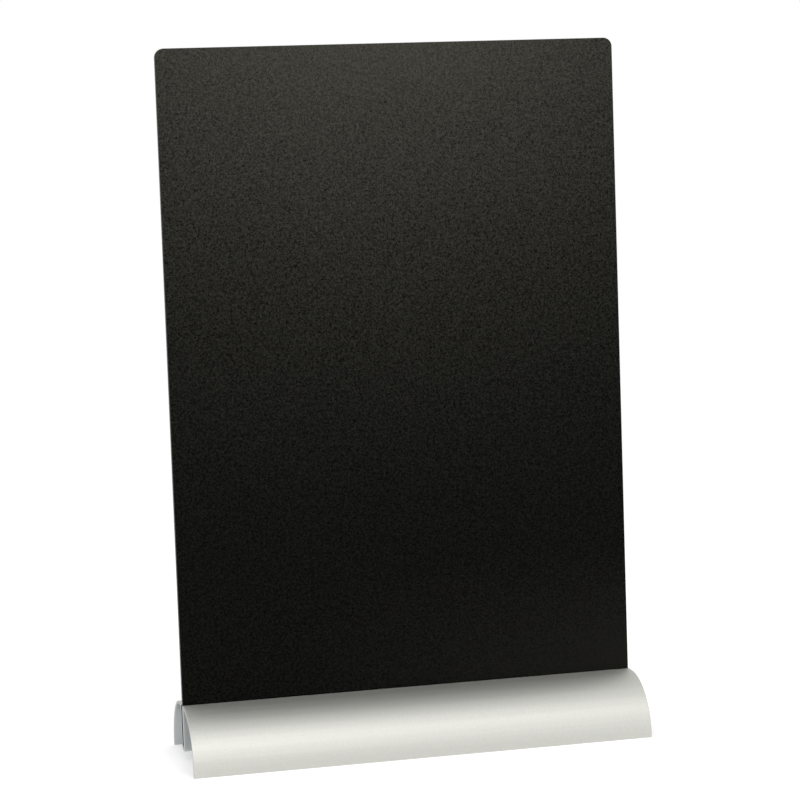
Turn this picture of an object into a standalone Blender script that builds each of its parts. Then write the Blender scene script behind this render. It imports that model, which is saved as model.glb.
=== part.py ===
"""Tabletop chalkboard: a thin black board that stands in the slot of an extruded aluminium base.

Metres, +Z up. The origin is on the table, under the middle of the base. +X runs along the width
of the board and -Y is the front. Both faces of the board are for writing on.
"""

import math

import bmesh
import bpy

# The board, a flat sheet with round corners
BOARD_WIDTH = 0.210
BOARD_HEIGHT = 0.312
BOARD_THICKNESS = 0.003
BOARD_CORNER_RADIUS = 0.004
BOARD_EDGE_BREAK = 0.0003

# The base, one length of extruded section, sawn a little longer than the board at each end
BASE_END_MARGIN = 0.0003
BASE_DEPTH = 0.066
BASE_HEIGHT = 0.0258
WING_WALL = 0.0014
TOE_STRAIGHT = 0.001
TOE_RADIUS = 0.0003
SAWN_END_BREAK = 0.00015

# The channel that hangs under the crest of the base and holds the board
SLOT_CLEARANCE = 0.0003
SLOT_LIP_RADIUS = 0.0003
SLOT_FLOOR_RADIUS = 0.0004
CHANNEL_WALL = 0.0014
CHANNEL_FLOOR = 0.0016
CHANNEL_GROUND_CLEARANCE = 0.005
CHANNEL_CORNER_RADIUS = 0.0008
CHANNEL_ROOT_RADIUS = 0.001
CREST_SHOULDER = 0.003

# A rounding takes up no more than this share of the wall it is on
ROUNDED_SHARE = 0.4

# Fineness of the curves, as straight steps in a quarter turn
WING_STEPS = 36
CORNER_STEPS = 12
FILLET_STEPS = 4
BOARD_BREAK_STEPS = 2
SAWN_BREAK_STEPS = 1

# Worked out from the sizes above
BASE_LENGTH = BOARD_WIDTH + 2 * BASE_END_MARGIN
SLOT_HALF_WIDTH = BOARD_THICKNESS / 2 + SLOT_CLEARANCE
CHANNEL_HALF_WIDTH = SLOT_HALF_WIDTH + CHANNEL_WALL
CREST_HALF_WIDTH = CHANNEL_HALF_WIDTH + CREST_SHOULDER
WING_REACH = BASE_DEPTH / 2 - CREST_HALF_WIDTH
WING_RISE = BASE_HEIGHT - TOE_STRAIGHT
SLOT_FLOOR_HEIGHT = CHANNEL_GROUND_CLEARANCE + CHANNEL_FLOOR
BOARD_SEAT_HEIGHT = SLOT_FLOOR_HEIGHT + SLOT_CLEARANCE
SHARP_ANGLE = math.radians(30)

# Looks of the two materials, as linear colours
BLACK_SURFACE_COLOUR = (0.012, 0.012, 0.011, 1.0)
BLACK_SURFACE_ROUGHNESS = 0.6
ALUMINIUM_COLOUR = (0.62, 0.63, 0.60, 1.0)
ALUMINIUM_ROUGHNESS = 0.38


def clear_scene():
    for item in list(bpy.data.objects):
        bpy.data.objects.remove(item, do_unlink=True)


def make_material(name, colour, roughness, metallic):
    material = bpy.data.materials.new(name)
    material.use_nodes = True
    shader = material.node_tree.nodes["Principled BSDF"]
    shader.inputs["Base Color"].default_value = colour
    shader.inputs["Roughness"].default_value = roughness
    shader.inputs["Metallic"].default_value = metallic
    material.diffuse_color = colour
    return material


def black_writing_surface():
    return make_material("black_writing_surface", BLACK_SURFACE_COLOUR, BLACK_SURFACE_ROUGHNESS, 0.0)


def satin_anodised_aluminium():
    return make_material("satin_anodised_aluminium", ALUMINIUM_COLOUR, ALUMINIUM_ROUGHNESS, 1.0)


def arc(centre, radius, start, end, steps):
    """Points of a circular arc between two angles in degrees, both ends included."""
    points = []
    for step in range(steps + 1):
        angle = math.radians(start + (end - start) * step / steps)
        points.append((centre[0] + radius * math.cos(angle), centre[1] + radius * math.sin(angle)))
    return points


def wing_curve(inset):
    """A quarter ellipse from toe to crest, moved inwards by inset so that the wall stays even."""
    points = []
    for step in range(WING_STEPS + 1):
        angle = math.radians(90 * step / WING_STEPS)
        normal = (math.cos(angle) / WING_REACH, math.sin(angle) / WING_RISE)
        length = math.hypot(*normal)
        y = CREST_HALF_WIDTH + WING_REACH * math.cos(angle) - inset * normal[0] / length
        z = TOE_STRAIGHT + WING_RISE * math.sin(angle) - inset * normal[1] / length
        points.append((y, z))
    return points


def slot_side():
    """From the middle of the slot floor up one side of the slot and over its lip."""
    floor_centre = (SLOT_HALF_WIDTH - SLOT_FLOOR_RADIUS, SLOT_FLOOR_HEIGHT + SLOT_FLOOR_RADIUS)
    lip_centre = (SLOT_HALF_WIDTH + SLOT_LIP_RADIUS, BASE_HEIGHT - SLOT_LIP_RADIUS)
    return (
        [(0.0, SLOT_FLOOR_HEIGHT)]
        + arc(floor_centre, SLOT_FLOOR_RADIUS, -90, 0, FILLET_STEPS)
        + arc(lip_centre, SLOT_LIP_RADIUS, 180, 90, FILLET_STEPS)
    )


def toe():
    """The rounded foot of a wing, from its outer side to its inner side."""
    radius = min(TOE_RADIUS, WING_WALL * ROUNDED_SHARE)
    outer_side = BASE_DEPTH / 2
    inner_side = outer_side - WING_WALL
    return (
        arc((outer_side - radius, radius), radius, 0, -90, FILLET_STEPS)
        + arc((inner_side + radius, radius), radius, -90, -180, FILLET_STEPS)
    )


def channel_underside():
    """From the root of the wing down the outer side of the channel to the middle of its bottom."""
    root_radius = CHANNEL_ROOT_RADIUS
    root_centre = (CHANNEL_HALF_WIDTH + root_radius, BASE_HEIGHT - WING_WALL - root_radius)
    corner_radius = CHANNEL_CORNER_RADIUS
    corner_centre = (CHANNEL_HALF_WIDTH - corner_radius, CHANNEL_GROUND_CLEARANCE + corner_radius)
    return (
        arc(root_centre, root_radius, 90, 180, FILLET_STEPS)
        + arc(corner_centre, corner_radius, 0, -90, FILLET_STEPS)
        + [(0.0, CHANNEL_GROUND_CLEARANCE)]
    )


def base_section():
    """The whole section in the YZ plane, both halves alike."""
    wing_outside = list(reversed(wing_curve(0.0)))
    wing_inside = wing_curve(WING_WALL)
    half = slot_side() + wing_outside + toe() + wing_inside + channel_underside()
    other_half = [(-y, z) for y, z in reversed(half[1:-1])]
    return half + other_half


def swept_outline(corners, sweep):
    """A solid made by moving a flat outline along a vector, and the edges round its two ends."""
    bm = bmesh.new()
    outline = [bm.verts.new(corner) for corner in corners]
    near_face = bm.faces.new(outline)
    swept = bmesh.ops.extrude_face_region(bm, geom=[near_face])
    far_verts = [item for item in swept["geom"] if isinstance(item, bmesh.types.BMVert)]
    far_faces = [item for item in swept["geom"] if isinstance(item, bmesh.types.BMFace)]
    bmesh.ops.translate(bm, verts=far_verts, vec=sweep)
    bmesh.ops.recalc_face_normals(bm, faces=bm.faces)
    end_edges = list(near_face.edges) + [edge for face in far_faces for edge in face.edges]
    return bm, end_edges


def break_edges(bm, edges, width, steps):
    bmesh.ops.bevel(
        bm, geom=edges, offset=width, offset_type="OFFSET", affect="EDGES", segments=steps,
        profile=0.5, material=-1, clamp_overlap=True,
    )


def finish_object(bm, name, material, location):
    mesh = bpy.data.meshes.new(name)
    bm.to_mesh(mesh)
    bm.free()
    mesh.materials.append(material)
    mesh.shade_smooth()
    mesh.set_sharp_from_angle(angle=SHARP_ANGLE)
    item = bpy.data.objects.new(name, mesh)
    item.location = location
    bpy.context.collection.objects.link(item)
    return item


def make_base():
    """The aluminium base: two curved wings and the channel between them, sawn square at both ends."""
    corners = [(-BASE_LENGTH / 2, y, z) for y, z in base_section()]
    bm, end_edges = swept_outline(corners, (BASE_LENGTH, 0.0, 0.0))
    break_edges(bm, end_edges, SAWN_END_BREAK, SAWN_BREAK_STEPS)
    return finish_object(bm, "base", satin_anodised_aluminium(), (0.0, 0.0, 0.0))


def board_outline():
    """The board's round-cornered outline as (x, z) points above the middle of its bottom edge."""
    x = BOARD_WIDTH / 2 - BOARD_CORNER_RADIUS
    low = BOARD_CORNER_RADIUS
    high = BOARD_HEIGHT - BOARD_CORNER_RADIUS
    corners = [((x, low), -90), ((x, high), 0), ((-x, high), 90), ((-x, low), 180)]
    points = []
    for centre, start in corners:
        points += arc(centre, BOARD_CORNER_RADIUS, start, start + 90, CORNER_STEPS)
    return points


def make_board():
    """The board. Its origin is on the line along which it lifts out, at its bottom edge."""
    corners = [(x, -BOARD_THICKNESS / 2, z) for x, z in board_outline()]
    bm, end_edges = swept_outline(corners, (0.0, BOARD_THICKNESS, 0.0))
    break_edges(bm, end_edges, BOARD_EDGE_BREAK, BOARD_BREAK_STEPS)
    return finish_object(bm, "board", black_writing_surface(), (0.0, 0.0, BOARD_SEAT_HEIGHT))


def main():
    clear_scene()
    make_base()
    make_board()


main()
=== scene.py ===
"""Tabletop chalkboard: the black writing board, the extruded aluminium base and a small studio.

Metres, +Z up. The origin is on the table under the middle of the base, +X runs along the width
of the board and -Y is the front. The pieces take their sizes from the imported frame.
"""

import math

import bmesh
import bpy
from bpy.props import FloatProperty, FloatVectorProperty, PointerProperty
from bpy.types import Operator, Panel, PropertyGroup
from mathutils import Matrix, Vector


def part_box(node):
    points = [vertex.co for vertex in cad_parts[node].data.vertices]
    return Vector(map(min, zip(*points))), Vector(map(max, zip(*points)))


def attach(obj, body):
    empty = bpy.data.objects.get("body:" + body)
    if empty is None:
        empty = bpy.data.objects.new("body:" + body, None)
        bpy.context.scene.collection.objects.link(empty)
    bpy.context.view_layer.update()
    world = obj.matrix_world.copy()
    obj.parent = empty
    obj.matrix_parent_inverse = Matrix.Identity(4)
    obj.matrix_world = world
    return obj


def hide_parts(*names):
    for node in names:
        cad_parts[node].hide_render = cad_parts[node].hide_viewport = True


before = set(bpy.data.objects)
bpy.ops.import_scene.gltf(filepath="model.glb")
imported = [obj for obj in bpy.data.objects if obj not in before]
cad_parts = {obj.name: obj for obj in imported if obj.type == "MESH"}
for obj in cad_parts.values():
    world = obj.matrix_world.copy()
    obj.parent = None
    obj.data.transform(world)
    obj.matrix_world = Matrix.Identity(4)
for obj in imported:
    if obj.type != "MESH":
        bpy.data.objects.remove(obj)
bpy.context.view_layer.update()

bl_info = {
    "name": "Tabletop Chalkboard",
    "version": (1, 0, 0),
    "blender": (4, 5, 0),
    "location": "View3D > Sidebar > Chalkboard",
    "description": "Builds a black table board that stands in an extruded aluminium base",
    "category": "Add Mesh",
}

board_low, board_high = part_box("board")
base_low, base_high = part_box("base")
board_size = board_high - board_low
base_size = base_high - base_low

# Edges sharper than the angle stay sharp. Points nearer than SAME_PLACE are one point, a corner
# is looked for within CORNER_SEARCH, and a face looks along an axis from SQUARE_ON upwards.
SHARP_ANGLE = math.radians(35)
SAME_PLACE = 1e-6
CORNER_SEARCH = 1e-5
SQUARE_ON = 0.9

# Most of a noise's values lie between these two
USUAL_NOISE = (0.3, 0.7)


# Sizes and colours that a user would change

class WritingBoardSettings(PropertyGroup):
    width: FloatProperty(
        name="Width", description="Width of the black sheet",
        default=board_size.x, min=0.05, unit="LENGTH", precision=4,
    )
    height: FloatProperty(
        name="Height", description="Height of the black sheet, with the part in the slot",
        default=board_size.z, min=0.05, unit="LENGTH", precision=4,
    )
    thickness: FloatProperty(
        name="Thickness", description="Thickness of the black sheet",
        default=board_size.y, min=0.001, unit="LENGTH", precision=4,
    )
    seat_height: FloatProperty(
        name="Seat height", description="Height of the sheet's lower edge above the table",
        default=board_low.z, min=0.0, unit="LENGTH", precision=4,
    )
    corner_radius: FloatProperty(
        name="Corner radius", description="Radius of the four round corners",
        default=0.004, min=0.0005, unit="LENGTH", precision=4,
    )
    edge_rounding: FloatProperty(
        name="Edge rounding", description="Radius that the milled edges are eased to",
        default=0.0003, min=0.0001, unit="LENGTH", precision=5,
    )
    black: FloatVectorProperty(
        name="Black", description="Colour of the writing surface where it is clean",
        default=(0.0034, 0.0034, 0.0029), min=0.0, max=1.0, size=3, subtype="COLOR",
    )
    # Painted sheen: this lighter colour is laid over the black towards the top, the middle and the
    # lower right corner, in place of the light's sheen on the board. The black is the board's own
    # colour.
    painted_sheen: FloatVectorProperty(
        name="Haze", description="Colour of the wiped chalk haze near the top",
        default=(0.0402, 0.0390, 0.0320), min=0.0, max=1.0, size=3, subtype="COLOR",
    )
    grain_size: FloatProperty(
        name="Grain size", description="Distance between the specks of the writing surface",
        default=0.00055, min=0.0002, unit="LENGTH", precision=5,
    )


class AluminiumBaseSettings(PropertyGroup):
    length: FloatProperty(
        name="Length", description="Sawn length of the extruded section",
        default=base_size.x, min=0.05, unit="LENGTH", precision=4,
    )
    depth: FloatProperty(
        name="Depth", description="Depth of the base from front toe to rear toe",
        default=base_size.y, min=0.03, unit="LENGTH", precision=4,
    )
    height: FloatProperty(
        name="Height", description="Height of the crest above the table",
        default=base_size.z, min=0.01, unit="LENGTH", precision=4,
    )
    wall: FloatProperty(
        name="Wall", description="Thickness of the wings and of the channel's sides",
        default=0.0014, min=0.0005, unit="LENGTH", precision=4,
    )
    slot_width: FloatProperty(
        name="Slot width", description="Width of the slot that holds the board",
        default=0.0036, min=0.001, unit="LENGTH", precision=4,
    )
    slot_floor_height: FloatProperty(
        name="Slot floor height", description="Height of the slot's floor above the table",
        default=0.0066, min=0.002, unit="LENGTH", precision=4,
    )
    channel_floor: FloatProperty(
        name="Channel floor", description="Thickness of the channel's floor",
        default=0.0016, min=0.0005, unit="LENGTH", precision=4,
    )
    crest_half_width: FloatProperty(
        name="Crest half width", description="From the middle to where the wing starts to curve",
        default=0.0062, min=0.003, unit="LENGTH", precision=4,
    )
    colour: FloatVectorProperty(
        name="Aluminium", description="Colour of the satin anodised aluminium",
        default=(0.577, 0.576, 0.543), min=0.0, max=1.0, size=3, subtype="COLOR",
    )
    roughness: FloatProperty(
        name="Roughness", description="How widely the satin surface spreads a highlight",
        default=0.60, min=0.05, max=1.0, subtype="FACTOR",
    )


class StudioSettings(PropertyGroup):
    floor_colour: FloatVectorProperty(
        name="Floor", description="Colour of the studio floor",
        default=(0.80, 0.80, 0.80), min=0.0, max=1.0, size=3, subtype="COLOR",
    )
    surround_light: FloatProperty(
        name="Surround light", description="Strength of the light from all round, where 1 is white",
        default=0.92, min=0.0, max=2.0, subtype="FACTOR",
    )
    softbox_power: FloatProperty(
        name="Softbox power", description="Power of the large softbox in front of the board",
        default=19.0, min=0.0, unit="POWER",
    )
    focal_length: FloatProperty(
        name="Focal length", description="Lens of the camera, in millimetres",
        default=109.4, min=20.0, max=400.0,
    )


# Small helpers for meshes

def finished_piece(bm, name, materials, body, node):
    """Turns the bmesh into an object at the origin that rides on its body and replaces a node."""
    mesh = bpy.data.meshes.new(name)
    bm.to_mesh(mesh)
    bm.free()
    for material in materials:
        mesh.materials.append(material)
    mesh.shade_smooth()
    mesh.set_sharp_from_angle(angle=SHARP_ANGLE)
    piece = bpy.data.objects.new(name, mesh)
    bpy.context.scene.collection.objects.link(piece)
    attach(piece, body)
    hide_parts(node)
    return piece


def rounded(bm, geometry, radius, segments, affect):
    """Bevels the given edges or vertices to a radius."""
    return bmesh.ops.bevel(
        bm, geom=geometry, offset=radius, offset_type="OFFSET", affect=affect,
        segments=segments, profile=0.5, material=-1, clamp_overlap=True,
    )


def grown_edge(bm, edge, step):
    """Extrudes one edge by a step and returns the new far edge and the new face."""
    grown = bmesh.ops.extrude_edge_only(bm, edges=[edge])["geom"]
    far_verts = [item for item in grown if isinstance(item, bmesh.types.BMVert)]
    bmesh.ops.translate(bm, verts=far_verts, vec=step)
    far_edge = next(
        item for item in grown
        if isinstance(item, bmesh.types.BMEdge) and all(vert in far_verts for vert in item.verts)
    )
    face = next(item for item in grown if isinstance(item, bmesh.types.BMFace))
    return far_edge, face


def edge_height(edge):
    return edge.verts[0].co.z + edge.verts[1].co.z


def edge_depth(edge):
    return edge.verts[0].co.y + edge.verts[1].co.y


# Small helpers for materials

class NodeSheet:
    """A material's node tree, with short calls to add nodes and join them."""

    def __init__(self, name):
        self.material = bpy.data.materials.new(name)
        self.material.use_nodes = True
        self.tree = self.material.node_tree
        self.shader = self.tree.nodes["Principled BSDF"]
        self.output = self.tree.nodes["Material Output"]

    def node(self, kind, **settings):
        made = self.tree.nodes.new(kind)
        for key, value in settings.items():
            setattr(made, key, value)
        return made

    def join(self, start, end):
        self.tree.links.new(start, end)

    def object_space(self, scale, turn=(0.0, 0.0, 0.0)):
        """Object coordinates in metres, stretched by a Mapping node."""
        coordinates = self.node("ShaderNodeTexCoord")
        mapping = self.node("ShaderNodeMapping")
        mapping.inputs["Scale"].default_value = scale
        mapping.inputs["Rotation"].default_value = turn
        self.join(coordinates.outputs["Object"], mapping.inputs["Vector"])
        return mapping.outputs["Vector"]

    def noise(self, vector, scale, detail=2.0, roughness=0.5):
        made = self.node("ShaderNodeTexNoise")
        made.inputs["Scale"].default_value = scale
        made.inputs["Detail"].default_value = detail
        made.inputs["Roughness"].default_value = roughness
        self.join(vector, made.inputs["Vector"])
        return made.outputs["Fac"]

    def remap(self, value, low, high, to_low, to_high):
        """A range of values turned into another range, and held inside it."""
        made = self.node("ShaderNodeMapRange")
        for socket, number in (
            ("From Min", low), ("From Max", high), ("To Min", to_low), ("To Max", to_high),
        ):
            made.inputs[socket].default_value = number
        self.join(value, made.inputs["Value"])
        return made.outputs["Result"]

    def spread(self, noise, to_low, to_high):
        """The usual range of a noise, spread over a range of values."""
        return self.remap(noise, *USUAL_NOISE, to_low, to_high)

    def maths(self, operation, first, second):
        """A Math node on two values, each a socket or a number."""
        made = self.node("ShaderNodeMath", operation=operation)
        for socket, value in zip(made.inputs, (first, second)):
            if isinstance(value, (int, float)):
                socket.default_value = value
            else:
                self.join(value, socket)
        return made.outputs["Value"]

    def mixed(self, factor, first, second):
        """A mix of two colours: all of the first at factor 0, all of the second at 1."""
        made = self.node("ShaderNodeMix", data_type="RGBA")
        self.join(factor, made.inputs["Factor"])
        for socket, colour in ((made.inputs[6], first), (made.inputs[7], second)):
            socket.default_value = (*colour, 1.0)
        return made.outputs[2]

    def scaled_colour(self, colour, value):
        """A colour made lighter or darker by a value around 1."""
        made = self.node("ShaderNodeVectorMath", operation="SCALE")
        if isinstance(colour, bpy.types.NodeSocket):
            self.join(colour, made.inputs[0])
        else:
            made.inputs[0].default_value = colour
        self.join(value, made.inputs["Scale"])
        return made.outputs["Vector"]

    def bump(self, height, distance, strength, before=None):
        made = self.node("ShaderNodeBump")
        made.inputs["Distance"].default_value = distance
        made.inputs["Strength"].default_value = strength
        self.join(height, made.inputs["Height"])
        if before is not None:
            self.join(before, made.inputs["Normal"])
        return made.outputs["Normal"]


# The writing board. Places and lengths are in metres. A pair named BUMP is a distance and a
# strength, and any other pair is for the low and the high end of a noise.

CORNER_SEGMENTS = 16
EDGE_SEGMENTS = 3

FINE_GRAIN_ROUGHNESS = 0.6
FINE_GRAIN_SHARE = 0.75
COARSE_GRAIN_SCALE = 0.42
# Speckle strength on the bare black, under the painted sheen and under the painted corner sheen.
SPECKLE_ON_BARE_BLACK = 7.0
SPECKLE_IN_SHEEN = 2.3
SPECKLE_IN_CORNER_SHEEN = 0.1
SPECKLE_DARKEST = 0.1
WRITING_ROUGHNESS = (0.62, 0.48)
WRITING_SHINE = 0.03
GRAIN_BUMP = (0.00012, 0.5)

# Painted sheen: the black is mixed towards a lighter colour, more towards the top and the middle,
# in uneven patches.
SHEEN_FOOT = 0.07
SHEEN_POWER = 2.15
SHEEN_MIDDLE = -0.01
SHEEN_SIDE_FALL = 24.0
SHEEN_PATCH_SCALE = (9.0, 9.0, 22.0)
SHEEN_PATCH_TURN = (0.0, 0.3, 0.0)
SHEEN_PATCH_NOISE = (0.25, 0.75)
SHEEN_PATCH_TONE = (0.94, 1.06)
# Painted sheen in the board's lower right corner, lighter towards the right and towards the foot.
CORNER_SHEEN_LEFT = -0.06
CORNER_SHEEN_RIGHT = 0.10
CORNER_SHEEN_TOP = 0.085
CORNER_SHEEN_FOOT = 0.030
CORNER_SHEEN_SHARE = 0.145

CUTTER_LINE_SCALE = (900.0, 9000.0, 900.0)
CUTTER_LINE_TONE = (0.75, 1.25)
CUTTER_LINE_ROUGHNESS = (0.45, 0.6)
CUTTER_LINE_BUMP = (0.00003, 0.4)
MILLED_GREY = 0.028
MILLED_SHINE = 0.25


def grain_of_writing_surface(sheet, settings):
    """Specks of the chalk surface: a fine grain with a little coarser grain under it."""
    per_metre = 1.0 / settings.grain_size
    coordinates = sheet.object_space((per_metre, per_metre, per_metre))
    fine = sheet.noise(coordinates, 1.0, detail=1.0, roughness=FINE_GRAIN_ROUGHNESS)
    coarse = sheet.noise(coordinates, COARSE_GRAIN_SCALE, detail=0.0)
    fine_part = sheet.maths("MULTIPLY", fine, FINE_GRAIN_SHARE)
    coarse_part = sheet.maths("MULTIPLY", coarse, 1.0 - FINE_GRAIN_SHARE)
    return sheet.maths("ADD", fine_part, coarse_part)


def painted_sheen_masks(sheet, settings):
    """Painted sheen of the light on the black: strongest at the top and in the middle, and a little
    low on the right.
    """
    place = sheet.node("ShaderNodeSeparateXYZ")
    coordinates = sheet.node("ShaderNodeTexCoord")
    sheet.join(coordinates.outputs["Object"], place.inputs["Vector"])
    top = settings.seat_height + settings.height
    rise = sheet.remap(place.outputs["Z"], SHEEN_FOOT, top, 0.0, 1.0)
    rise = sheet.maths("POWER", rise, SHEEN_POWER)
    aside = sheet.maths("SUBTRACT", place.outputs["X"], SHEEN_MIDDLE)
    fall = sheet.maths("MULTIPLY", sheet.maths("MULTIPLY", aside, aside), SHEEN_SIDE_FALL)
    rise = sheet.maths("MULTIPLY", rise, sheet.maths("SUBTRACT", 1.0, fall))
    # Patches that make the painted sheen uneven.
    sheen_patches = sheet.noise(sheet.object_space(SHEEN_PATCH_SCALE, SHEEN_PATCH_TURN), 1.0, detail=3.0)
    clouds = sheet.remap(sheen_patches, *SHEEN_PATCH_NOISE, *SHEEN_PATCH_TONE)
    rise = sheet.maths("MULTIPLY", rise, clouds)
    # The painted corner sheen, lighter to the right and towards the bottom.
    across = sheet.remap(place.outputs["X"], CORNER_SHEEN_LEFT, CORNER_SHEEN_RIGHT, 0.0, CORNER_SHEEN_SHARE)
    low = sheet.remap(place.outputs["Z"], CORNER_SHEEN_FOOT, CORNER_SHEEN_TOP, 1.0, 0.0)
    return rise, sheet.maths("MULTIPLY", across, low)


def speckle(sheet, grain, painted_sheen, corner_sheen):
    """How much lighter or darker each speck is, around 1: strong on the bare black, weak where
    sheen is painted on.
    """
    strength = sheet.remap(painted_sheen, 0.0, 1.0, SPECKLE_ON_BARE_BLACK, SPECKLE_IN_SHEEN)
    left_by_corner_sheen = sheet.remap(corner_sheen, 0.0, CORNER_SHEEN_SHARE, 1.0, SPECKLE_IN_CORNER_SHEEN)
    strength = sheet.maths("MULTIPLY", strength, left_by_corner_sheen)
    around_none = sheet.maths("MULTIPLY", sheet.maths("SUBTRACT", grain, 0.5), strength)
    return sheet.maths("MAXIMUM", sheet.maths("ADD", around_none, 1.0), SPECKLE_DARKEST)


def writing_surface(settings):
    sheet = NodeSheet("black_writing_surface")
    grain = grain_of_writing_surface(sheet, settings)
    painted_sheen, corner_sheen = painted_sheen_masks(sheet, settings)
    painted_sheen_share = sheet.maths("ADD", painted_sheen, corner_sheen)
    # The painted sheen lightens the black here.
    colour = sheet.mixed(painted_sheen_share, tuple(settings.black), tuple(settings.painted_sheen))
    speckled = sheet.scaled_colour(colour, speckle(sheet, grain, painted_sheen, corner_sheen))
    sheet.join(speckled, sheet.shader.inputs["Base Color"])
    sheet.join(sheet.spread(grain, *WRITING_ROUGHNESS), sheet.shader.inputs["Roughness"])
    sheet.join(sheet.bump(grain, *GRAIN_BUMP), sheet.shader.inputs["Normal"])
    sheet.shader.inputs["Specular IOR Level"].default_value = WRITING_SHINE
    return sheet.material


def milled_board_edge(settings):
    """The milled edge of the sheet: the same black, a little greyer, with fine cutter lines."""
    sheet = NodeSheet("milled_black_edge")
    lines = sheet.noise(sheet.object_space(CUTTER_LINE_SCALE), 1.0, detail=2.0)
    grey = tuple(channel + MILLED_GREY for channel in settings.black)
    colour = sheet.scaled_colour(grey, sheet.spread(lines, *CUTTER_LINE_TONE))
    sheet.join(colour, sheet.shader.inputs["Base Color"])
    sheet.join(sheet.spread(lines, *CUTTER_LINE_ROUGHNESS), sheet.shader.inputs["Roughness"])
    sheet.join(sheet.bump(lines, *CUTTER_LINE_BUMP), sheet.shader.inputs["Normal"])
    sheet.shader.inputs["Specular IOR Level"].default_value = MILLED_SHINE
    return sheet.material


def make_writing_board(settings):
    bm = bmesh.new()
    bmesh.ops.create_cube(bm, size=1.0)
    bmesh.ops.scale(bm, vec=(settings.width, settings.thickness, settings.height), verts=bm.verts)
    middle = settings.seat_height + settings.height / 2
    bmesh.ops.translate(bm, vec=(0.0, 0.0, middle), verts=bm.verts)
    corners = [
        edge for edge in bm.edges
        if abs(edge.verts[0].co.y - edge.verts[1].co.y) > SAME_PLACE
    ]
    rounded(bm, corners, settings.corner_radius, CORNER_SEGMENTS, "EDGES")
    faces = [face for face in bm.faces if abs(face.normal.y) > SQUARE_ON]
    rims = [edge for face in faces for edge in face.edges]
    rounded(bm, rims, settings.edge_rounding, EDGE_SEGMENTS, "EDGES")
    bm.normal_update()
    for face in bm.faces:
        face.material_index = 0 if abs(face.normal.y) > SQUARE_ON else 1
    materials = (writing_surface(settings), milled_board_edge(settings))
    return finished_piece(bm, "writing_board", materials, "board", "board")


# The aluminium base. Lengths are in metres, and pairs are as for the writing board.

WING_STEPS = 64
FILLET_SEGMENTS = 6
SAWN_EDGE_SEGMENTS = 2
TOE_STRAIGHT = 0.001
TOE_RADIUS = 0.0003
SLOT_LIP_RADIUS = 0.0003
SLOT_FLOOR_RADIUS = 0.0004
CHANNEL_CORNER_RADIUS = 0.0008
CHANNEL_ROOT_RADIUS = 0.001
SAWN_EDGE_BREAK = 0.00015
# How far the painted shadow at each end of the slot reaches in.
SLOT_END_DEPTH = 0.0004

DIE_LINE_SCALE = (6.0, 2600.0, 2600.0)
DIE_LINE_ROUGHNESS = 0.03
DIE_LINE_BUMP = (0.00001, 0.25)
BROAD_LINE_SCALE = (3.0, 500.0, 500.0)
BROAD_LINE_TONE = (0.99, 1.01)
ETCH_SCALE = (1300.0, 1300.0, 1300.0)
ETCH_TONE = (-0.028, 0.028)
ETCH_BUMP = (0.00001, 0.2)

DULL_LINE_SCALE = (6.0, 1500.0, 1500.0)
DULL_LINE_TONE = (0.97, 1.03)
DULL_LINE_ROUGHNESS = (0.36, 0.44)
DULL_LINE_BUMP = (0.00001, 0.3)
# Painted shade: the faces under the wings are darker than the satin skin, and a little cooler.
UNDER_WING_SHADE_COLOUR = (0.515, 0.535, 0.535)
# Painted shade: the slot's walls are darker than the satin skin.
IN_SLOT_SHADE_COLOUR = (0.40, 0.41, 0.41)
IN_SLOT_METALLIC = 0.4
# Painted shadow: the slot's last part at each end is nearly black.
SLOT_END_SHADOW_COLOUR = (0.04, 0.042, 0.042)

SAW_LINE_SCALE = (1.0, 300.0, 3800.0)
SAW_LINE_TURN = (0.35, 0.0, 0.0)
SAW_LINE_TONE = (0.9, 1.08)
SAW_LINE_ROUGHNESS = (0.34, 0.46)
SAW_LINE_BUMP = (0.00002, 0.5)
SAWN_COLOUR = (0.56, 0.57, 0.56)
SAWN_SHINE_TINT = (0.55, 0.56, 0.55, 1.0)


def satin_aluminium(settings):
    """Satin anodised skin: fine die lines along the extrusion and an even, etched grain."""
    sheet = NodeSheet("satin_anodised_aluminium")
    die_lines = sheet.noise(sheet.object_space(DIE_LINE_SCALE), 1.0, detail=3.0)
    broad_lines = sheet.noise(sheet.object_space(BROAD_LINE_SCALE), 1.0, detail=1.0)
    etch = sheet.noise(sheet.object_space(ETCH_SCALE), 1.0, detail=2.0)
    line_tone = sheet.spread(broad_lines, *BROAD_LINE_TONE)
    tone = sheet.maths("ADD", line_tone, sheet.spread(etch, *ETCH_TONE))
    colour = sheet.scaled_colour(tuple(settings.colour), tone)
    sheet.join(colour, sheet.shader.inputs["Base Color"])
    smoothest = settings.roughness - DIE_LINE_ROUGHNESS
    roughest = settings.roughness + DIE_LINE_ROUGHNESS
    roughness = sheet.spread(die_lines, smoothest, roughest)
    sheet.join(roughness, sheet.shader.inputs["Roughness"])
    lines = sheet.bump(die_lines, *DIE_LINE_BUMP)
    sheet.join(sheet.bump(etch, *ETCH_BUMP, lines), sheet.shader.inputs["Normal"])
    sheet.shader.inputs["Metallic"].default_value = 1.0
    return sheet.material


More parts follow.
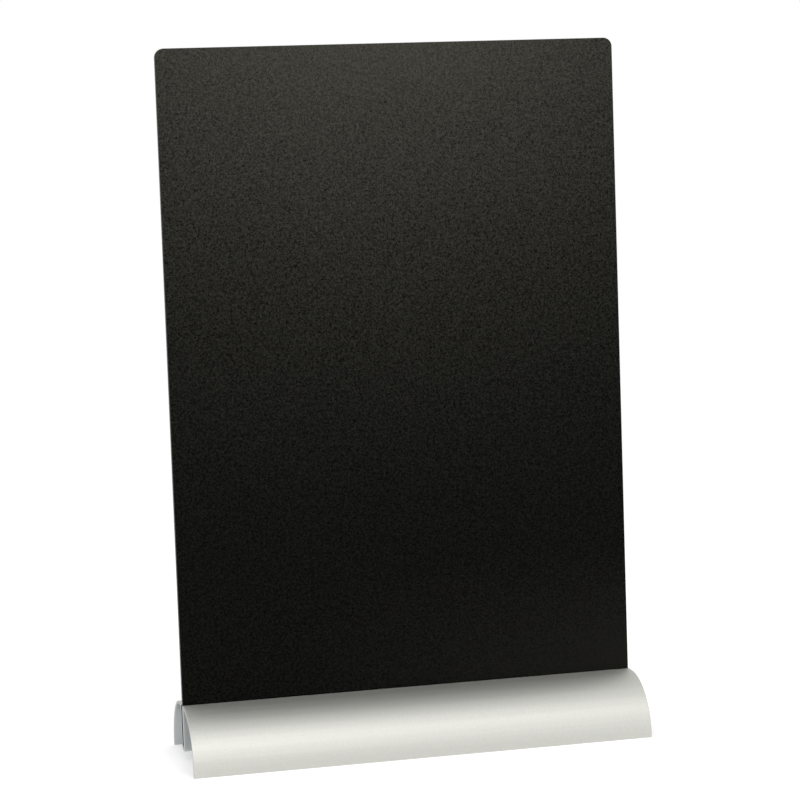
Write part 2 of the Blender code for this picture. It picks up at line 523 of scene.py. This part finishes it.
def aluminium_in_painted_shade(name, colour, metallic=1.0):
    """Faces in the hollows and the slot: the same metal, duller and a little cooler, in a darker
    colour that is painted shade.
    """
    sheet = NodeSheet(name)
    lines = sheet.noise(sheet.object_space(DULL_LINE_SCALE), 1.0, detail=2.0)
    lined_colour = sheet.scaled_colour(colour, sheet.spread(lines, *DULL_LINE_TONE))
    sheet.join(lined_colour, sheet.shader.inputs["Base Color"])
    sheet.join(sheet.spread(lines, *DULL_LINE_ROUGHNESS), sheet.shader.inputs["Roughness"])
    sheet.join(sheet.bump(lines, *DULL_LINE_BUMP), sheet.shader.inputs["Normal"])
    sheet.shader.inputs["Metallic"].default_value = metallic
    return sheet.material


def sawn_aluminium():
    """The sawn end, with the saw's lines across it."""
    sheet = NodeSheet("sawn_aluminium_end")
    lines = sheet.noise(sheet.object_space(SAW_LINE_SCALE, SAW_LINE_TURN), 1.0, detail=2.0)
    colour = sheet.scaled_colour(SAWN_COLOUR, sheet.spread(lines, *SAW_LINE_TONE))
    sheet.join(colour, sheet.shader.inputs["Base Color"])
    sheet.join(sheet.spread(lines, *SAW_LINE_ROUGHNESS), sheet.shader.inputs["Roughness"])
    sheet.join(sheet.bump(lines, *SAW_LINE_BUMP), sheet.shader.inputs["Normal"])
    sheet.shader.inputs["Metallic"].default_value = 1.0
    sheet.shader.inputs["Specular Tint"].default_value = SAWN_SHINE_TINT
    return sheet.material


def half_section(bm, settings):
    """The front half of the section, as flat faces grown from one short edge at the crest."""
    half_slot = settings.slot_width / 2
    channel_side = half_slot + settings.wall
    underside = settings.height - settings.wall
    pivot = Vector((0.0, -settings.crest_half_width, TOE_STRAIGHT))
    crest = bm.verts.new((0.0, pivot.y, settings.height))
    under = bm.verts.new((0.0, pivot.y, underside))
    crest_edge = bm.edges.new((crest, under))
    spun = bmesh.ops.spin(
        bm, geom=[crest, under, crest_edge], cent=pivot, axis=(1.0, 0.0, 0.0),
        angle=math.radians(90), steps=WING_STEPS,
    )
    rise = settings.height - TOE_STRAIGHT
    reach = settings.depth / 2 - settings.crest_half_width
    bmesh.ops.scale(
        bm, vec=(1.0, reach / rise, 1.0), space=Matrix.Translation(-pivot), verts=bm.verts,
    )
    toe_edge = next(item for item in spun["geom_last"] if isinstance(item, bmesh.types.BMEdge))
    grown_edge(bm, toe_edge, (0.0, 0.0, -TOE_STRAIGHT))
    land_edge, _ = grown_edge(bm, crest_edge, (0.0, settings.crest_half_width - channel_side, 0.0))
    _, lip_face = grown_edge(bm, land_edge, (0.0, settings.wall, 0.0))
    wall_top = min(lip_face.edges, key=edge_height)
    down = underside - settings.slot_floor_height
    wall_foot, _ = grown_edge(bm, wall_top, (0.0, 0.0, -down))
    _, foot_face = grown_edge(bm, wall_foot, (0.0, 0.0, -settings.channel_floor))
    floor_side = max(foot_face.edges, key=edge_depth)
    grown_edge(bm, floor_side, (0.0, half_slot, 0.0))


def section_corners(settings):
    """Each corner of the section that is eased, as (distance from the middle, height, radius)."""
    half_slot = settings.slot_width / 2
    channel_side = half_slot + settings.wall
    outer_toe = settings.depth / 2
    rise = settings.height - TOE_STRAIGHT
    reach = outer_toe - settings.crest_half_width
    inner_toe = outer_toe - settings.wall * reach / rise
    channel_bottom = settings.slot_floor_height - settings.channel_floor
    return (
        (half_slot, settings.height, SLOT_LIP_RADIUS),
        (half_slot, settings.slot_floor_height, SLOT_FLOOR_RADIUS),
        (channel_side, channel_bottom, CHANNEL_CORNER_RADIUS),
        (channel_side, settings.height - settings.wall, CHANNEL_ROOT_RADIUS),
        (outer_toe, 0.0, TOE_RADIUS),
        (inner_toe, 0.0, TOE_RADIUS),
    )


def whole_section(bm, settings):
    """Both halves as one flat face in the middle plane, with its corners eased."""
    half_section(bm, settings)
    everything = bm.verts[:] + bm.edges[:] + bm.faces[:]
    bmesh.ops.mirror(
        bm, geom=everything, matrix=Matrix.Identity(4), merge_dist=SAME_PLACE, axis="Y",
    )
    bmesh.ops.remove_doubles(bm, verts=bm.verts, dist=SAME_PLACE)
    bmesh.ops.recalc_face_normals(bm, faces=bm.faces)
    bmesh.ops.dissolve_faces(bm, faces=bm.faces[:], use_verts=False)
    for distance, height, radius in section_corners(settings):
        found = [
            vert for vert in bm.verts
            if math.hypot(abs(vert.co.y) - distance, vert.co.z - height) < CORNER_SEARCH
        ]
        if len(found) != 2:
            raise RuntimeError(f"the section has {len(found)} corners at {distance}, {height}")
        rounded(bm, found, radius, FILLET_SEGMENTS, "VERTICES")


def faces_the_hollow(face, settings):
    """Whether a face of the section looks into the open space under a wing."""
    middle = face.calc_center_median()
    reach = settings.depth / 2 - settings.crest_half_width
    rise = settings.height - TOE_STRAIGHT
    aside = max(0.0, abs(middle.y) - settings.crest_half_width) / (reach - settings.wall / 2)
    above = (middle.z - TOE_STRAIGHT) / (rise - settings.wall / 2)
    inside_wing = math.hypot(aside, max(0.0, above)) < 1.0
    return inside_wing and abs(middle.y) > settings.slot_width / 2 + settings.wall / 2


def faces_the_slot(face, settings):
    """Whether a face looks into the slot, below its rounded lips."""
    middle = face.calc_center_median()
    below_lip = middle.z < settings.height - SLOT_LIP_RADIUS
    above_floor = middle.z > settings.slot_floor_height - SAME_PLACE
    between_walls = abs(middle.y) < settings.slot_width / 2 + SLOT_LIP_RADIUS
    return below_lip and above_floor and between_walls


def base_material_index(face, settings):
    """Satin outside, sawn ends, painted shade under the wings and in the slot, painted shadow at
    the slot's ends.
    """
    if abs(face.normal.x) > SQUARE_ON:
        return 1
    if faces_the_hollow(face, settings):
        return 2
    if faces_the_slot(face, settings):
        # The slot's last part at each end gets the painted shadow.
        at_end = abs(face.calc_center_median().x) >= settings.length / 2 - SLOT_END_DEPTH
        return 4 if at_end else 3
    return 0


def make_aluminium_base(settings):
    bm = bmesh.new()
    whole_section(bm, settings)
    bmesh.ops.translate(bm, vec=(-settings.length / 2, 0.0, 0.0), verts=bm.verts)
    near_end = bm.faces[:]
    swept = bmesh.ops.extrude_face_region(bm, geom=near_end)["geom"]
    far_verts = [item for item in swept if isinstance(item, bmesh.types.BMVert)]
    bmesh.ops.translate(bm, vec=(settings.length, 0.0, 0.0), verts=far_verts)
    bmesh.ops.recalc_face_normals(bm, faces=bm.faces)
    ends = [face for face in bm.faces if abs(face.normal.x) > SQUARE_ON]
    rims = [edge for face in ends for edge in face.edges]
    rounded(bm, rims, SAWN_EDGE_BREAK, SAWN_EDGE_SEGMENTS, "EDGES")
    # Cuts that bound the painted shadow at the slot's ends.
    cut_place = settings.length / 2 - SLOT_END_DEPTH
    for side in (-1.0, 1.0):
        bmesh.ops.bisect_plane(
            bm, geom=bm.verts[:] + bm.edges[:] + bm.faces[:], dist=SAME_PLACE,
            plane_co=(side * cut_place, 0.0, 0.0), plane_no=(1.0, 0.0, 0.0),
        )
    bm.normal_update()
    for face in bm.faces:
        face.material_index = base_material_index(face, settings)
    materials = (
        satin_aluminium(settings),
        sawn_aluminium(),
        aluminium_in_painted_shade("aluminium_painted_shade_under_wings", UNDER_WING_SHADE_COLOUR),
        aluminium_in_painted_shade("aluminium_painted_shade_in_slot", IN_SLOT_SHADE_COLOUR, IN_SLOT_METALLIC),
        aluminium_in_painted_shade("aluminium_painted_shadow_at_slot_ends", SLOT_END_SHADOW_COLOUR),
    )
    return finished_piece(
        bm, "aluminium_base", materials, "base", "base",
    )


# The studio. Places and sizes are in metres, and the camera's sensor is in millimetres.

FLOOR_RADIUS = 6.0
FLOOR_SEGMENTS = 96
FLOOR_ROUGHNESS = 0.9
FLOOR_LIFT = 0.31
FLOOR_FADE_START = 0.25
FLOOR_FADE_END = 0.9

SOFTBOX_PLACE = (-0.15, -1.55, 1.68)
SOFTBOX_TARGET = (0.0, -0.02, 0.02)
SOFTBOX_SIZE = (1.6, 1.3)

SENSOR_WIDTH = 36.0
CAMERA_PLACE = (-0.2426, -1.0722, 0.2717)
CAMERA_TURN = math.radians(12.79)
CAMERA_TILT = math.radians(5.16)
CAMERA_ROLL = math.radians(-1.98)
CAMERA_SHIFT = -0.04


def rays_that_show_white(tree):
    """1 for the rays that see the plain white surround: the camera's, glossy and transmitted."""
    path = tree.nodes.new("ShaderNodeLightPath")
    shown = path.outputs["Is Camera Ray"]
    for ray in ("Is Glossy Ray", "Is Transmission Ray"):
        either = tree.nodes.new("ShaderNodeMath")
        either.operation = "MAXIMUM"
        tree.links.new(shown, either.inputs[0])
        tree.links.new(path.outputs[ray], either.inputs[1])
        shown = either.outputs["Value"]
    return shown


def make_floor(settings):
    """A wide pale floor that fades to plain white away from the object."""
    bm = bmesh.new()
    bmesh.ops.create_circle(bm, cap_ends=True, radius=FLOOR_RADIUS, segments=FLOOR_SEGMENTS)
    mesh = bpy.data.meshes.new("studio_floor")
    bm.to_mesh(mesh)
    bm.free()
    sheet = NodeSheet("pale_studio_floor")
    sheet.shader.inputs["Base Color"].default_value = (*settings.floor_colour, 1.0)
    sheet.shader.inputs["Roughness"].default_value = FLOOR_ROUGHNESS
    sheet.shader.inputs["Specular IOR Level"].default_value = 0.0
    mesh.materials.append(sheet.material)
    coordinates = sheet.node("ShaderNodeTexCoord")
    length = sheet.node("ShaderNodeVectorMath", operation="LENGTH")
    sheet.join(coordinates.outputs["Object"], length.inputs[0])
    far = sheet.remap(length.outputs["Value"], FLOOR_FADE_START, FLOOR_FADE_END, 0.0, 1.0)
    white = sheet.node("ShaderNodeEmission")
    white.inputs["Color"].default_value = (1.0, 1.0, 1.0, 1.0)
    lift = sheet.node("ShaderNodeEmission")
    lift.inputs["Strength"].default_value = FLOOR_LIFT
    lifted = sheet.node("ShaderNodeAddShader")
    sheet.join(sheet.shader.outputs["BSDF"], lifted.inputs[0])
    sheet.join(lift.outputs["Emission"], lifted.inputs[1])
    faded = sheet.node("ShaderNodeMixShader")
    sheet.join(far, faded.inputs[0])
    sheet.join(lifted.outputs["Shader"], faded.inputs[1])
    sheet.join(white.outputs["Emission"], faded.inputs[2])
    shown = sheet.node("ShaderNodeMixShader")
    sheet.join(rays_that_show_white(sheet.tree), shown.inputs[0])
    sheet.join(sheet.shader.outputs["BSDF"], shown.inputs[1])
    sheet.join(faded.outputs["Shader"], shown.inputs[2])
    sheet.join(shown.outputs["Shader"], sheet.output.inputs["Surface"])
    floor = bpy.data.objects.new("studio_floor", mesh)
    bpy.context.scene.collection.objects.link(floor)


def light_world(settings):
    """A white surround, a little dimmer as light on the object than it looks."""
    world = bpy.data.worlds.new("studio_surround")
    bpy.context.scene.world = world
    world.use_nodes = True
    tree = world.node_tree
    background = tree.nodes["Background"]
    background.inputs["Color"].default_value = (1.0, 1.0, 1.0, 1.0)
    strength = tree.nodes.new("ShaderNodeMapRange")
    strength.inputs["To Min"].default_value = settings.surround_light
    strength.inputs["To Max"].default_value = 1.0
    tree.links.new(rays_that_show_white(tree), strength.inputs["Value"])
    tree.links.new(strength.outputs["Result"], background.inputs["Strength"])


def add_front_softbox(settings):
    """A large softbox above and in front of the board, turned to face it."""
    lamp = bpy.data.lights.new("front_softbox", "AREA")
    lamp.shape = "RECTANGLE"
    lamp.size, lamp.size_y = SOFTBOX_SIZE
    lamp.energy = settings.softbox_power
    box = bpy.data.objects.new("front_softbox", lamp)
    box.location = SOFTBOX_PLACE
    view = Vector(SOFTBOX_TARGET) - Vector(SOFTBOX_PLACE)
    box.rotation_euler = view.to_track_quat("-Z", "Y").to_euler()
    bpy.context.scene.collection.objects.link(box)


def add_camera(settings):
    """A long lens at the photograph's viewing angle: from the left, just below the board's top."""
    lens = bpy.data.cameras.new("camera")
    lens.sensor_width = SENSOR_WIDTH
    lens.lens = settings.focal_length
    lens.shift_y = CAMERA_SHIFT
    camera = bpy.data.objects.new("camera", lens)
    camera.location = CAMERA_PLACE
    turned = Matrix.Rotation(-CAMERA_TURN, 3, "Z")
    tilted = Matrix.Rotation(math.radians(90) - CAMERA_TILT, 3, "X")
    rolled = Matrix.Rotation(CAMERA_ROLL, 3, "Z")
    camera.rotation_euler = (turned @ tilted @ rolled).to_euler()
    bpy.context.scene.collection.objects.link(camera)
    bpy.context.scene.camera = camera


# Operators and the panel

class CHALKBOARD_OT_base(Operator):
    """Build the extruded aluminium base"""

    bl_idname = "chalkboard.base"
    bl_label = "Aluminium Base"

    def execute(self, context):
        make_aluminium_base(context.scene.chalkboard_base)
        return {"FINISHED"}


class CHALKBOARD_OT_board(Operator):
    """Build the black writing board"""

    bl_idname = "chalkboard.board"
    bl_label = "Writing Board"

    def execute(self, context):
        make_writing_board(context.scene.chalkboard_board)
        return {"FINISHED"}


class CHALKBOARD_OT_studio(Operator):
    """Set up the floor, the lights and the camera"""

    bl_idname = "chalkboard.studio"
    bl_label = "Studio"

    def execute(self, context):
        settings = context.scene.chalkboard_studio
        make_floor(settings)
        light_world(settings)
        add_front_softbox(settings)
        add_camera(settings)
        context.scene.view_settings.view_transform = "Standard"
        return {"FINISHED"}


class CHALKBOARD_PT_panel(Panel):
    bl_idname = "CHALKBOARD_PT_panel"
    bl_label = "Tabletop Chalkboard"
    bl_space_type = "VIEW_3D"
    bl_region_type = "UI"
    bl_category = "Chalkboard"

    def draw(self, context):
        groups = (
            (context.scene.chalkboard_base, "chalkboard.base"),
            (context.scene.chalkboard_board, "chalkboard.board"),
            (context.scene.chalkboard_studio, "chalkboard.studio"),
        )
        for settings, operator in groups:
            box = self.layout.box()
            for name in settings.__annotations__:
                box.prop(settings, name)
            box.operator(operator)


CLASSES = (
    WritingBoardSettings,
    AluminiumBaseSettings,
    StudioSettings,
    CHALKBOARD_OT_base,
    CHALKBOARD_OT_board,
    CHALKBOARD_OT_studio,
    CHALKBOARD_PT_panel,
)


def register():
    for item in CLASSES:
        bpy.utils.register_class(item)
    bpy.types.Scene.chalkboard_board = PointerProperty(type=WritingBoardSettings)
    bpy.types.Scene.chalkboard_base = PointerProperty(type=AluminiumBaseSettings)
    bpy.types.Scene.chalkboard_studio = PointerProperty(type=StudioSettings)


def unregister():
    del bpy.types.Scene.chalkboard_studio
    del bpy.types.Scene.chalkboard_base
    del bpy.types.Scene.chalkboard_board
    for item in reversed(CLASSES):
        bpy.utils.unregister_class(item)


def main():
    register()
    bpy.ops.chalkboard.base()
    bpy.ops.chalkboard.board()
    bpy.ops.chalkboard.studio()


if __name__ == "__main__":
    main()
